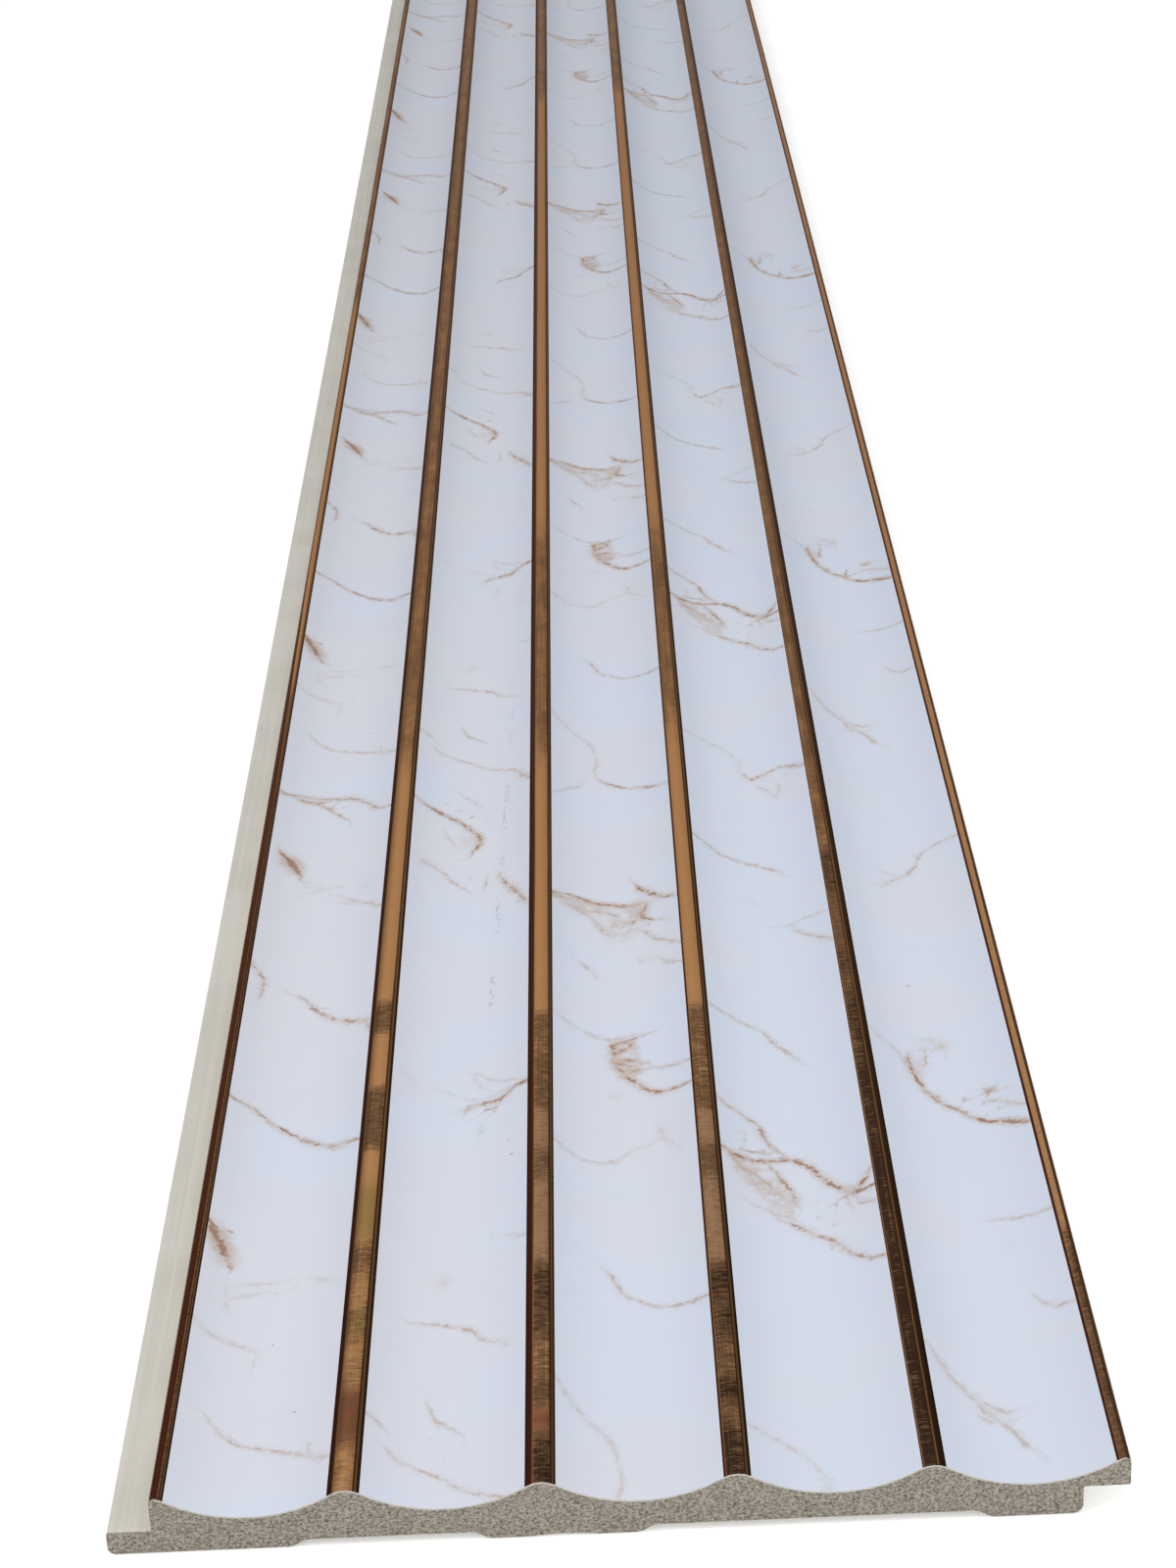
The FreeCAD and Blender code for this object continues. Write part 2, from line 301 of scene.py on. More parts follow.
inner = []
random = np.random.default_rng(7)
for x in np.arange(low[0] + GRAIN_STEP, high[0], GRAIN_STEP):
    lowest, highest = span_at(x)
    heights = np.arange(lowest + GRAIN_STEP / 2, highest, GRAIN_STEP)
    shift = random.uniform(-GRAIN_SHIFT, GRAIN_SHIFT, (len(heights), 2))
    inner += [(x + dx, z + dz) for z, (dx, dz) in zip(heights, shift)]
inner = np.array(inner)
inner = inner[distance_to(inner, closed_outline) > GRAIN_GAP]
points = [Vector(point) for point in np.vstack([outline, inner])]
loop = list(range(len(outline)))
net_points, _, net_faces, origins, _, _ = geometry.delaunay_2d_cdt(points, [], [loop], 1, 1e-5)
net_points = np.array([tuple(point) for point in net_points])
to_surface = distance_to(net_points, upper_line)
for end_y, loop_vertices, inward in ((low[1], near_loop, 1), (high[1], far_loop, -1)):
    index = []
    for (x, z), source, depth in zip(net_points, origins, to_surface):
        if source and source[0] < len(outline):
            index.append(loop_vertices[source[0]])
            skin_depth[index[-1]] = depth
            continue
        torn = noise.noise(Vector((x * 1.1, z * 1.1, 5.0 * inward)))
        torn += 0.6 * noise.noise(Vector((x * 2.6, z * 2.6, 9.0)))
        dip_in = GRAIN_DEPTH * min(max(0.5 + torn, 0), 1) if depth > SKIN_DEPTH else SKIN_DIP
        index.append(len(vertices))
        skin_depth[index[-1]] = depth
        vertices.append((x, end_y + inward * dip_in, z))
    for corners in net_faces:
        corners = [index[corner] for corner in corners]
        faces.append(tuple(corners if inward > 0 else reversed(corners)))
        finishes.append(SAWN)

mesh = bpy.data.meshes.new("panel_stock")
mesh.from_pydata([tuple(value / 1000 for value in vertex) for vertex in vertices], [], faces)
mesh.polygons.foreach_set("material_index", finishes)
mesh.polygons.foreach_set("use_smooth", [finish != SAWN for finish in finishes])
mesh.set_sharp_from_angle(angle=math.radians(40))
mesh.update()
panel = bpy.data.objects.new("panel_stock", mesh)
bpy.context.collection.objects.link(panel)


# The stone print
# A thin decor film with a white marble print, rolled onto the flutes. The roller repeats it all along the
# panel. Each vein is a route over one repeat: across from the face's left wall, and along from the near end.
PRINT_REPEAT = 268
# The pattern within the veins starts over here in each repeat, where no vein lies.
WRAP_AT = 36
# How far a vein reaches to its sides, how far it keeps its full strength, and the offset that stands for far.
REACH = 3.7
FULL_REACH = 2.2
SIDE_REACH = 9.0
# A vein that comes closer to another than this goes into a new layer. Each vein thins out towards its ends.
LAYER_GAP = 1.6 * REACH
TAPER_LENGTH = 4
# Strength and half width of each kind of vein.
VIVID, STRONG, MEDIUM, FAINT = (1.5, 0.46), (1.0, 0.44), (0.66, 0.38), (0.4, 0.36)
BROAD, BLOT = (2.4, 0.9), (1.2, 0.8)
first_flute = [
    (MEDIUM, [(6.5, 24.4), (10, 20), (12.5, 18.7), (16.2, 16.9), (19.4, 15), (22.5, 13.7), (24.4, 12.5),
              (26.3, 11.2)]),
    (MEDIUM, [(23, 15.6), (24.5, 12)]),
    (FAINT, [(2, 50.6), (3.7, 48.5), (7.5, 46.9), (12.5, 44.4), (12.9, 40)]),
    (BROAD, [(3.4, 77.6), (4.4, 75), (5.6, 72.2), (6.9, 69)]),
    (FAINT, [(6.9, 62.5), (7.5, 59.4), (10.6, 61), (13.7, 61.9), (15.6, 62.2)]),
    (FAINT, [(7.2, 59.4), (7.5, 55)]),
    (FAINT, [(7.5, 62.5), (12.5, 64.4), (16.9, 65.6)]),
    (FAINT, [(20.6, 65.6), (25, 61.5)]),
    (STRONG, [(2.7, 123.7), (7.5, 121.2), (10.6, 117.7), (12.5, 115.6), (15, 113.1), (18.7, 110.2),
              (21.9, 108.1), (26.9, 106.9)]),
    (MEDIUM, [(20.6, 108), (25.6, 105)]),
    (STRONG, [(2.7, 176.2), (4.4, 173.1), (5.2, 168.7), (5, 164.4)]),
    (STRONG, [(10.6, 168.1), (13.7, 165.6), (16.2, 161.2), (18.7, 158.1), (21.9, 155.2), (25.6, 153.1),
              (26.5, 150)]),
    (MEDIUM, [(17.5, 211.5), (20.6, 208.1), (23.7, 205.6), (26.5, 201.9)]),
    (FAINT, [(17.5, 208), (22.5, 205.5)]),
    (FAINT, [(9, 211.2), (11.9, 213.5), (15, 215.2), (20, 216.5)]),
    (BROAD, [(5, 229.4), (6.9, 225.6), (9, 221.2)]),
    (STRONG, [(3.5, 257.5), (7.5, 259.4), (11.2, 259.7), (16.2, 260), (19.4, 258.5), (21.9, 255),
              (23.7, 251.2), (26.5, 249.6)]),
    (STRONG, [(3.5, 258.1), (7.5, 256.9), (10.6, 256.9), (13.7, 253.7), (17.5, 248.1)]),
    (FAINT, [(15.5, 261.6), (18.5, 260.9)]),
]
second_flute = [
    (MEDIUM, [(53.7, 267.5), (55.2, 264), (57, 261)]),
    (MEDIUM, [(35.6, 13.5), (37.5, 11.2), (41.2, 9), (44, 7.9), (47.5, 4.4), (53.7, 0.6), (56.5, -5)]),
    (MEDIUM, [(32.7, 21), (34.4, 20), (35, 18.1)]),
    (MEDIUM, [(41.9, 27.5), (43.1, 23.7), (45, 20.6), (46.9, 18.7)]),
    (MEDIUM, [(37.5, 49.7), (42.5, 49.6), (45, 50.4), (47.5, 48.1), (50, 45), (54, 41.5)]),
    (FAINT, [(53.7, 75), (56.9, 72.5)]),
    (VIVID, [(57.2, 125.2), (53.7, 125.6), (53.1, 122.5), (51.5, 120.6), (49.4, 121.9), (47.2, 122.2),
             (46, 120.6)]),
    (BLOT, [(46.2, 121), (47.4, 121.6)]),
    (FAINT, [(41.2, 127.5), (45.6, 124.4)]),
    (FAINT, [(46.9, 134.4), (50, 131.2), (53.7, 128.1), (56.9, 125.6)]),
    (FAINT, [(47.2, 134), (48.1, 130), (50.6, 126.2)]),
    (MEDIUM, [(35.2, 130.8), (36, 130)]),
    (FAINT, [(49, 114.4), (48.1, 110)]),
    (MEDIUM, [(34.4, 223.7), (37.5, 220.6), (40, 217.5), (43.1, 213.7), (45, 210.6)]),
    (STRONG, [(50.6, 218.7), (51.5, 214.4), (53.7, 209.4), (55.6, 204.4), (57.2, 198.7)]),
    (VIVID, [(33.7, 251.2), (37.5, 248.1), (41.9, 245), (44.4, 241.2), (46.5, 238.7), (46.5, 235),
             (45.2, 230), (44.4, 228.1)]),
    (MEDIUM, [(39.4, 238.7), (40, 236.2), (41.2, 233.1)]),
    (FAINT, [(41.2, 259.7), (45, 255), (48.1, 251.2)]),
]
third_flute = [
    (FAINT, [(62.7, 27.5), (65.6, 22.5), (68.1, 18.7), (70, 16.2), (71.9, 10.6), (72.7, 6.2), (71.9, 1.2),
             (71.9, -3.6)]),
    (STRONG, [(71.9, 264.4), (73.7, 262.5), (78.1, 258.7), (83.1, 256.2), (87.5, 253.7)]),
    (FAINT, [(70, 263.1), (67.5, 258.7), (63.7, 253.7)]),
    (MEDIUM, [(70, 65.6), (72.2, 61.2), (73.7, 56.9), (76.2, 54.4), (80, 52.2), (83.7, 50.6), (87.5, 50.2)]),
    (FAINT, [(64, 101.9), (66.2, 99.4), (70, 98.7), (73.7, 100), (75.6, 103.1), (80, 105), (83.1, 107.5)]),
    (MEDIUM, [(63.6, 102.3), (64.4, 101.6)]),
    (FAINT, [(81, 111.9), (82.5, 105), (85, 100)]),
    (VIVID, [(80, 146.2), (75, 143.7), (73.5, 141.9), (73.7, 137.5), (74, 135), (76.2, 132.5), (79, 132.5)]),
    (VIVID, [(75, 143.7), (76.9, 143), (76.2, 140), (73.8, 139.4)]),
    (VIVID, [(73.8, 137.6), (75.4, 137), (77.4, 136.4)]),
    (VIVID, [(74.2, 136), (76, 134.8), (78.2, 134.4)]),
    (VIVID, [(74.6, 135), (76.2, 130), (78.1, 126.9), (79.4, 124.4), (81.2, 122.5), (86.9, 121.9)]),
    (MEDIUM, [(79.4, 132.5), (82.5, 131.2), (86.9, 130.4)]),
    (MEDIUM, [(66.9, 147.2), (70, 145.6), (75, 145), (79.4, 146.5)]),
    (FAINT, [(63.7, 151), (66.9, 147.5)]),
    (VIVID, [(62.7, 203.1), (66.2, 204.1), (70, 203.1), (73.7, 201.9), (77.5, 200.6), (81.9, 201)]),
    (BLOT, [(63.4, 202), (65.4, 202.4)]),
    (MEDIUM, [(64.4, 200), (68.7, 196.9), (71.2, 193.1), (73.1, 189.4), (75, 187.5)]),
    (MEDIUM, [(66.2, 199.4), (71.2, 198.7), (75, 197.2), (76.9, 193.7)]),
    (VIVID, [(79.4, 211.9), (80.6, 207.5), (82.5, 204.4), (86.2, 200)]),
    (VIVID, [(81.9, 200.6), (80, 196.9), (81.2, 193.7), (84, 191)]),
    (MEDIUM, [(78.7, 190), (81.9, 186.2), (84.4, 181.9), (86.9, 178.5)]),
    (MEDIUM, [(66.9, 176.5), (69.4, 173.1), (71, 170)]),
    (MEDIUM, [(79.4, 177.6), (81.4, 177.6), (81.9, 175.8), (80.4, 175), (79.4, 176.2)]),
    (MEDIUM, [(83.1, 175), (86.2, 170.6)]),
]
fourth_flute = [
    (FAINT, [(93.1, 13.7), (98.7, 10.6), (102.5, 6.2), (104, 1.2), (104, -3)]),
    (STRONG, [(104, 265), (105, 261.9), (107.2, 259.7), (110.6, 263.5), (113.1, 264), (115.6, 261.9),
              (117.5, 260.6)]),
    (BLOT, [(115.4, 261.8), (116.4, 261.2)]),
    (FAINT, [(106.9, 258.7), (108.7, 255), (111.2, 248.7)]),
    (FAINT, [(111.2, 248.7), (112.5, 254.4), (110, 258.7)]),
    (STRONG, [(100, 78.7), (105.6, 74.4), (110, 69.4), (113.1, 64.4), (115.6, 61.2), (118.1, 60)]),
    (STRONG, [(93.1, 115.2), (96.9, 111.9), (99.4, 108.1), (100, 105), (101.9, 101.2), (103.7, 98.7)]),
    (VIVID, [(93.1, 97.5), (96.2, 96.5), (100, 96.9), (102.5, 98.1), (105.6, 97.5), (108.1, 94.4),
             (110, 89.4), (112.5, 86.2), (115, 82.7), (118.1, 82.5)]),
    (VIVID, [(112.6, 82.2), (114.4, 82.5), (116.4, 85.6)]),
    (MEDIUM, [(114.4, 82.5), (115.2, 79.4), (117.4, 78.2)]),
    (STRONG, [(100, 96.2), (102.5, 91.2), (104, 86.9), (104.7, 82.5)]),
    (BLOT, [(99.9, 105.8), (100.5, 103.8)]),
    (MEDIUM, [(93.4, 97.5), (95.6, 93), (98.6, 91), (100.6, 88), (102.5, 85.5)]),
    (MEDIUM, [(112.6, 85.2), (112.9, 82.5), (113.5, 79)]),
    (FAINT, [(95, 83.7), (98.7, 80), (103.7, 78.1), (106.2, 75)]),
    (MEDIUM, [(93.1, 151.2), (96.9, 148.7), (100.6, 146.5), (103.1, 143.1), (104.4, 139.4), (106.9, 135.6),
              (109.4, 131.2)]),
    (MEDIUM, [(93.1, 226.9), (97.5, 221.9), (102.5, 218.7), (107.5, 215.6), (110.6, 211.2)]),
    (FAINT, [(106.2, 188.7), (110, 188.1), (113.7, 189), (116.9, 188.7)]),
    (MEDIUM, [(110, 188.1), (113.1, 182.5), (117.5, 176.9)]),
    (MEDIUM, [(102.8, 200.5), (103.6, 199.9)]),
]
fifth_flute = [
    (MEDIUM, [(123.7, 30), (125, 26.2), (127.5, 22.5), (130, 18.1), (132.5, 15), (134.4, 11.9),
              (137.5, 6.2)]),
    (STRONG, [(129.4, 21.4), (132.2, 18.4), (134.6, 18.8)]),
    (MEDIUM, [(129.6, 15.8), (132.5, 15), (134.2, 16.6)]),
    (MEDIUM, [(141.9, 49.4), (143.7, 46.2), (146.2, 44.4), (148.5, 44.4)]),
    (MEDIUM, [(136.9, 75.2), (141.2, 74.4), (145, 73.4), (148.5, 72.7)]),
    (VIVID, [(128.7, 132.5), (129, 126.2), (130.6, 120.6), (133.7, 115.6), (137.5, 110.6), (141.2, 107.5),
             (145, 104.4), (147, 103)]),
    (FAINT, [(123.1, 137.5), (126.2, 133.7), (128.7, 127.5)]),
    (FAINT, [(130.6, 140), (135, 138.7), (136.2, 132.5)]),
    (MEDIUM, [(140, 115), (143.7, 112.5), (147.5, 108.7)]),
    (BLOT, [(142.3, 118.2), (143.1, 117.6)]),
    (MEDIUM, [(148.1, 220.6), (145, 221.5), (140, 220), (138.1, 213.7), (134.4, 208.1), (130.6, 205)]),
    (FAINT, [(130, 212.5), (134.4, 208.7)]),
]
# Small round specks of the print: across, along, radius.
SPECKS = [
    (5.9, 79.3, 0.8), (54, 106.2, 0.35), (54.6, 101, 0.3), (131.6, 161, 0.4), (15.5, 46.3, 0.35),
    (20.5, 26.3, 0.35),
]
# Soft stains of the print: across, along, half width, half length, strength.
STAINS = [
    (5, 73, 1.8, 5, 0.5), (7, 225, 2.4, 5, 0.55), (12, 217, 3, 2.5, 0.3), (23, 213, 3, 2, 0.25),
    (9, 257.8, 3.5, 1.8, 0.5), (43, 63, 2.6, 3.2, 0.3), (46.5, 121.4, 1.8, 1.4, 0.5),
    (36, 222, 2.6, 2.4, 0.35), (44.5, 236, 2.6, 6, 0.35), (73.4, 88.5, 1.4, 1.2, 0.3),
    (75.6, 137.5, 2.6, 6.5, 0.7), (77.4, 132.4, 1.8, 1.8, 0.9), (74, 124, 2.2, 2, 0.35),
    (80, 199, 2.2, 4, 0.7), (69, 201.5, 5, 1.6, 0.5), (86, 108, 1.4, 1.2, 0.3),
    (76, 191, 4.5, 6.5, 0.42), (69, 199.6, 4.5, 3.4, 0.45), (64, 225, 1.8, 1.6, 0.3),
    (94.6, 96, 1.8, 3.2, 0.45), (96.8, 92, 2.2, 3.6, 0.5), (99.2, 88.6, 2.4, 3.6, 0.5),
    (101.6, 85, 2.4, 3.4, 0.5), (102.6, 80.6, 2.4, 2.6, 0.4), (114.6, 83.4, 1.8, 1.8, 0.45),
    (99, 44.4, 1.8, 1.3, 0.25), (132, 17, 3, 2.8, 0.35), (140, 65, 2.2, 1.6, 0.25),
    (134, 137, 3.2, 3.4, 0.42), (129.5, 128, 2, 5, 0.45), (131, 206, 2.4, 2, 0.35),
    (142.7, 117.9, 1.2, 1.1, 0.45),
]


NEAR_RIDGE = 2
UNDER_RIDGE = 4
CURVE_STEPS = 6


def smooth_route(route, start, stop):
    """A vein's route as short steps on a smooth curve. An end that comes near a ridge goes on under it."""
    route = [np.array(point, float) for point in route]
    for end, next_in in ((0, 1), (-1, -2)):
        if start + NEAR_RIDGE < route[end][0] < stop - NEAR_RIDGE:
            continue
        away = route[end] - route[next_in]
        longer = route[end] + away / np.linalg.norm(away) * UNDER_RIDGE
        if end == 0:
            route.insert(0, longer)
        else:
            route.append(longer)
    ends = [2 * route[0] - route[1]] + route + [2 * route[-1] - route[-2]]
    steps = []
    for before, first, second, after in zip(ends, ends[1:], ends[2:], ends[3:]):
        for share in np.linspace(0, 1, CURVE_STEPS + 1)[:-1]:
            steps.append(0.5 * (2 * first + (second - before) * share
                                + (2 * before - 5 * first + 4 * second - after) * share ** 2
                                + (3 * first - before - 3 * second + after) * share ** 3))
    return np.array(steps + [route[-1]])


def layer_for(route, layers):
    """The first layer in which no other vein comes close, or a new one."""
    for number, others in enumerate(layers):
        gaps = [np.linalg.norm(route[:, None] - other[None], axis=2).min() for other in others]
        if not gaps or min(gaps) > LAYER_GAP:
            others.append(route)
            return number
    layers.append([route])
    return len(layers) - 1


def draw_vein(field, kind, route, across, along):
    """Writes a vein's side offset, strength and half width onto one flute's points that lie within reach."""
    strength, half_width = kind
    lowest_row = np.searchsorted(along, route[:, 1].min() - SIDE_REACH)
    highest_row = np.searchsorted(along, route[:, 1].max() + SIDE_REACH)
    if lowest_row >= highest_row:
        return
    spots = np.stack(np.meshgrid(across, along[lowest_row:highest_row]), -1)
    start = route[:-1]
    step = route[1:] - start
    offset = spots[:, :, None] - start
    share = np.clip((offset * step).sum(3) / (step ** 2).sum(1), 0, 1)
    lead = offset - share[..., None] * step
    gap = np.linalg.norm(lead, axis=3)
    nearest = gap.argmin(2)
    rows, places = np.indices(nearest.shape)
    gap = gap[rows, places, nearest]
    away = offset[rows, places, nearest]
    heading = step[nearest]
    side = np.sign(heading[..., 0] * away[..., 1] - heading[..., 1] * away[..., 0])
    lengths = np.concatenate([[0], np.cumsum(np.linalg.norm(step, axis=1))])
    done = lengths[nearest] + share[rows, places, nearest] * np.linalg.norm(heading, axis=-1)
    to_end = np.minimum(done, lengths[-1] - done)
    taper = np.clip(to_end / min(TAPER_LENGTH, lengths[-1] / 2) * 0.75 + 0.25, 0, 1)
    fade = np.clip((REACH - gap) / (REACH - FULL_REACH), 0, 1)
    values = np.stack([side * gap, strength * taper ** 0.7 * fade, half_width * (0.55 + 0.45 * taper)], -1)
    window = field[lowest_row:highest_row]
    closer = gap < np.abs(window[..., 0])
    window[closer] = values[closer]


# The side offset, strength and half width where no vein is near, and how far the veins go on under the foil.
NO_VEIN = (SIDE_REACH, 0, 0.4)
UNDER_FOIL = 0.5
repeats = range(-1, int((high[1] - low[1]) / PRINT_REPEAT) + 1)
along = row_y - low[1]
prints = []
for number, veins in enumerate([first_flute, second_flute, third_flute, fourth_flute, fifth_flute]):
    start = number * PITCH + RIDGE_WIDTH / 2
    stop = (number + 1) * PITCH - RIDGE_WIDTH / 2
    across = face_x - left_wall
    chosen = np.flatnonzero((across > start - UNDER_FOIL) & (across < stop + UNDER_FOIL))
    layers = []
    for kind, route in veins:
        route = smooth_route(route, start, stop)
        layer = layer_for(route, layers)
        while layer >= len(prints):
            prints.append(np.tile(np.array(NO_VEIN), (ROWS + 1, columns, 1)))
        field = prints[layer][:, chosen]
        for repeat in repeats:
            draw_vein(field, kind, route + (0, repeat * PRINT_REPEAT), across[chosen], along)
        prints[layer][:, chosen] = field

stains = np.zeros((ROWS + 1, columns))
for repeat in repeats:
    for stain_across, stain_along, half_width, half_length, strength in STAINS:
        reach_across = (face_x - left_wall - stain_across) / half_width
        reach_along = (along - stain_along - repeat * PRINT_REPEAT) / half_length
        stains += strength * np.exp(-(reach_across ** 2 + reach_along[:, None] ** 2))


def store(name, values):
    """Keeps a number or a vector for each of the mesh's points, under a name that a shader can look up."""
    kind, part = ("FLOAT", "value") if values.ndim == 1 else ("FLOAT_VECTOR", "vector")
    mesh.attributes.new(name, kind, "POINT").data.foreach_set(part, values.ravel())


grid_size = (ROWS + 1) * columns
for number, field in enumerate(prints):
    values = np.zeros((len(vertices), 3), np.float32)
    values[:grid_size] = field.reshape(-1, 3)
    store(f"veins_{number}", values)
values = np.zeros(len(vertices), np.float32)
values[:grid_size] = stains.ravel()
store("stains", values)


class Wire:
    """A socket of a material's nodes, so that shader sums read as Python sums."""

    def __init__(self, tree, socket=None):
        self.tree = tree
        self.socket = socket

    def add(self, kind, settings=None, sockets=None, output=0):
        """A new node: its type, its settings, which are set first, and what goes into its sockets."""
        made_node = self.tree.nodes.new(kind)
        for name, value in (settings or {}).items():
            setattr(made_node, name, value)
        for name, value in (sockets or {}).items():
            if isinstance(value, Wire):
                self.tree.links.new(value.socket, made_node.inputs[name])
            else:
                made_node.inputs[name].default_value = value
        return Wire(self.tree, made_node.outputs[output])

    def math(self, operation, *others):
        return self.add("ShaderNodeMath", {"operation": operation}, dict(enumerate((self, *others))))

    def __add__(self, other):
        return self.math("ADD", other)

    def __mul__(self, other):
        return self.math("MULTIPLY", other)

    def __sub__(self, other):
        return self.math("SUBTRACT", other)

    def __truediv__(self, other):
        return self.math("DIVIDE", other)

    def __rsub__(self, other):
        return self * -1 + other

    __radd__ = __add__
    __rmul__ = __mul__

    def step(self, first, last):
        """From 0 at the first value to 1 at the last, smooth between them, whichever of the two is larger."""
        sockets = {"Value": self, "From Min": first, "From Max": last}
        return self.add("ShaderNodeMapRange", {"interpolation_type": "SMOOTHSTEP"}, sockets)

    def mix(self, first, second, blend="MIX"):
        """The first colour where this is 0, and the second where it is 1."""
        settings = {"data_type": "RGBA", "blend_type": blend}
        return self.add("ShaderNodeMix", settings, {0: self, 6: first, 7: second}, 2)

    def stored(self, name, output="Fac"):
        """What the mesh holds at each point under a name."""
        return self.add("ShaderNodeAttribute", {"attribute_name": name}, output=output)

    def scaled(self, x, y, z):
        return self.add("ShaderNodeVectorMath", {"operation": "MULTIPLY"}, {0: self, 1: (x, y, z)})

    def noise(self, scale, detail=2.0, roughness=0.5):
        sockets = {"Vector": self, "Scale": scale, "Detail": detail, "Roughness": roughness}
        return self.add("ShaderNodeTexNoise", {"noise_dimensions": "3D"}, sockets)

    def parts(self):
        """The three numbers of a vector."""
        return [self.add("ShaderNodeSeparateXYZ", None, {0: self}, axis) for axis in "XYZ"]


def finish_named(name):
    """A new material with its shader, and its place on the object in millimetres."""
    made_material = bpy.data.materials.new(name)
    made_material.use_nodes = True
    tree = made_material.node_tree
    place = Wire(tree).add("ShaderNodeTexCoord", output="Object").scaled(1000, 1000, 1000)
    return made_material, tree.nodes["Principled BSDF"], place


def feed(shader, name, wire):
    """Links a wire to one of the shader's sockets."""
    wire.tree.links.new(wire.socket, shader.inputs[name])


def bumped(shader, height, distance):
    """Feeds a height to the shader as relief. A height of one stands for the distance, in millimetres."""
    sockets = {"Height": height, "Distance": distance / 1000, "Strength": 1.0}
    feed(shader, "Normal", height.add("ShaderNodeBump", None, sockets))


PRINT_BLUE = (0.512, 0.558, 0.64, 1)
PRINT_LILAC = (0.54, 0.552, 0.61, 1)
VEIN_BROWN = (0.345, 0.24, 0.165, 1)
VEIN_RED = (0.28, 0.16, 0.105, 1)
HALO_BEIGE = (0.45, 0.40, 0.37, 1)
stone_print, shader, place = finish_named("stone_print")
x, y, z = place.parts()
wrapped = (y - (low[1] + WRAP_AT)).math("FLOORED_MODULO", PRINT_REPEAT)
printed = place.add("ShaderNodeCombineXYZ", None, {"X": x, "Y": wrapped})
wander = (printed.noise(0.16, 1) - 0.5) * 2.4
jag = (printed.noise(0.8, 3, 0.7) - 0.5) * 2.3
stray = (printed.noise(0.24, 2, 0.6) - 0.5) * 9
knots = printed.noise(0.36, 2, 0.6)
breaks = printed.noise(0.2, 1)
grain = printed.noise(1.7, 3, 0.7)
cores = None
halos = None
for number in range(len(prints)):
    offset, strength, half_width = place.stored(f"veins_{number}", "Vector").parts()
    line = (offset + wander + jag).math("ABSOLUTE")
    width = half_width * (0.25 + 1.1 * knots)
    core = line.step(width * 1.7, width * 0.25) * strength * (0.16 + 1.0 * knots.step(0.36, 0.60))
    hair = (offset + stray + jag).math("ABSOLUTE").step(0.42, 0.05) * breaks.step(0.46, 0.62) * 0.5
    core = core.math("MAXIMUM", hair * strength)
    halo = line.step(width * 5.5, 0.0) * strength
    cores = core if cores is None else cores.math("MAXIMUM", core)
    halos = halo if halos is None else halos.math("MAXIMUM", halo)
stain = place.stored("stains")
smear = printed.noise(0.3, 4, 0.65).step(0.28, 0.58) * stain.step(0.04, 0.5)
crackle = (printed.noise(0.3, 3, 0.6) - 0.5).math("ABSOLUTE").step(0.03, 0.004) * stain.step(0.1, 0.45)
# The print's own clouds of blue and lilac, with a painted reflection of sky that turns it bluer towards the
# right.
print_cloud_and_sky_tint = printed.noise(0.02, 2) - 0.0016 * x
base = print_cloud_and_sky_tint.step(0.35, 0.65).mix(PRINT_BLUE, PRINT_LILAC)
base = (halos * (0.25 + 0.6 * grain) + smear * 0.8).mix(base, HALO_BEIGE)
tone = (cores + 0.5 * (grain - 0.5)).step(0.5, 1.1).mix(VEIN_BROWN, VEIN_RED)
ink = cores.math("MAXIMUM", crackle * 0.5) * (0.35 + 0.8 * grain)
for speck_across, speck_along, radius in SPECKS:
    centre = (left_wall + speck_across, (speck_along - WRAP_AT) % PRINT_REPEAT, 0)
    away = printed.add("ShaderNodeVectorMath", {"operation": "DISTANCE"}, {0: printed, 1: centre}, "Value")
    ink = ink.math("MAXIMUM", (away + 0.5 * jag).step(radius, 0.5 * radius) * 0.7)
printed_face = ink.mix(base, tone)

# A row of grey scuffs, rubbed into the second flute once and not part of the print. It passes through one
# point, leans a little to the right as it goes along, and fades in and out at its two ends.
SCUFF_GREY = (0.30, 0.275, 0.33, 1)
SCUFFS_ACROSS, SCUFFS_ALONG = 50, 157
SCUFFS_LEAN = 0.0245
SCUFFS_FROM, SCUFFS_TO = 150, 306
FADE_IN, FADE_OUT = 8, 10
from_scuffs = x - (left_wall + SCUFFS_ACROSS) - SCUFFS_LEAN * (y - (low[1] + SCUFFS_ALONG))
scuffs = from_scuffs.math("ABSOLUTE").step(0.75, 0.3)
scuffs = scuffs * y.step(low[1] + SCUFFS_FROM, low[1] + SCUFFS_FROM + FADE_IN)
scuffs = scuffs * y.step(low[1] + SCUFFS_TO, low[1] + SCUFFS_TO - FADE_OUT)
scuffs = scuffs * place.scaled(0.05, 0.085, 1).noise(1.0, 1).step(0.5, 0.56)
scuffs = scuffs * place.scaled(1.6, 0.9, 1).noise(1.0, 2).step(0.5, 0.62)
feed(shader, "Base Color", (scuffs * 0.6).mix(printed_face, SCUFF_GREY))
shader.inputs["Roughness"].default_value = 0.42
shader.inputs["Specular IOR Level"].default_value = 0.3
bumped(shader, place.noise(0.35, 2), 0.05)
mesh.materials.append(stone_print)

# The copper foil
# A metallised hot-stamping foil over the ridges and the two rounded edges. It follows the fine chatter of the
# die, so what it mirrors breaks up crosswise. Towards the sawn end its colour holds painted reflections in
# patches.

# A tone of painted reflection is how dark the foil looks, how red, and how golden. A golden share below zero
# is a grey painted reflection.
DEEP, SMOKY, DARK, DIMMED = (1, 0, 0), (0.84, 0, 0), (0.66, 0, 0), (0.52, 0, 0)
DULL, CALM, PALE, FAINT_GREY = (0.42, 0, 0), (0.37, 0, 0), (0.24, 0, 0), (0.14, 0, -0.25)
REDDISH, RED_BROWN, GOLDEN, GREYED = (0.05, 0.9, 0), (0.42, 0.5, 0), (0.1, 0, 0.9), (0.2, 0, -0.7)
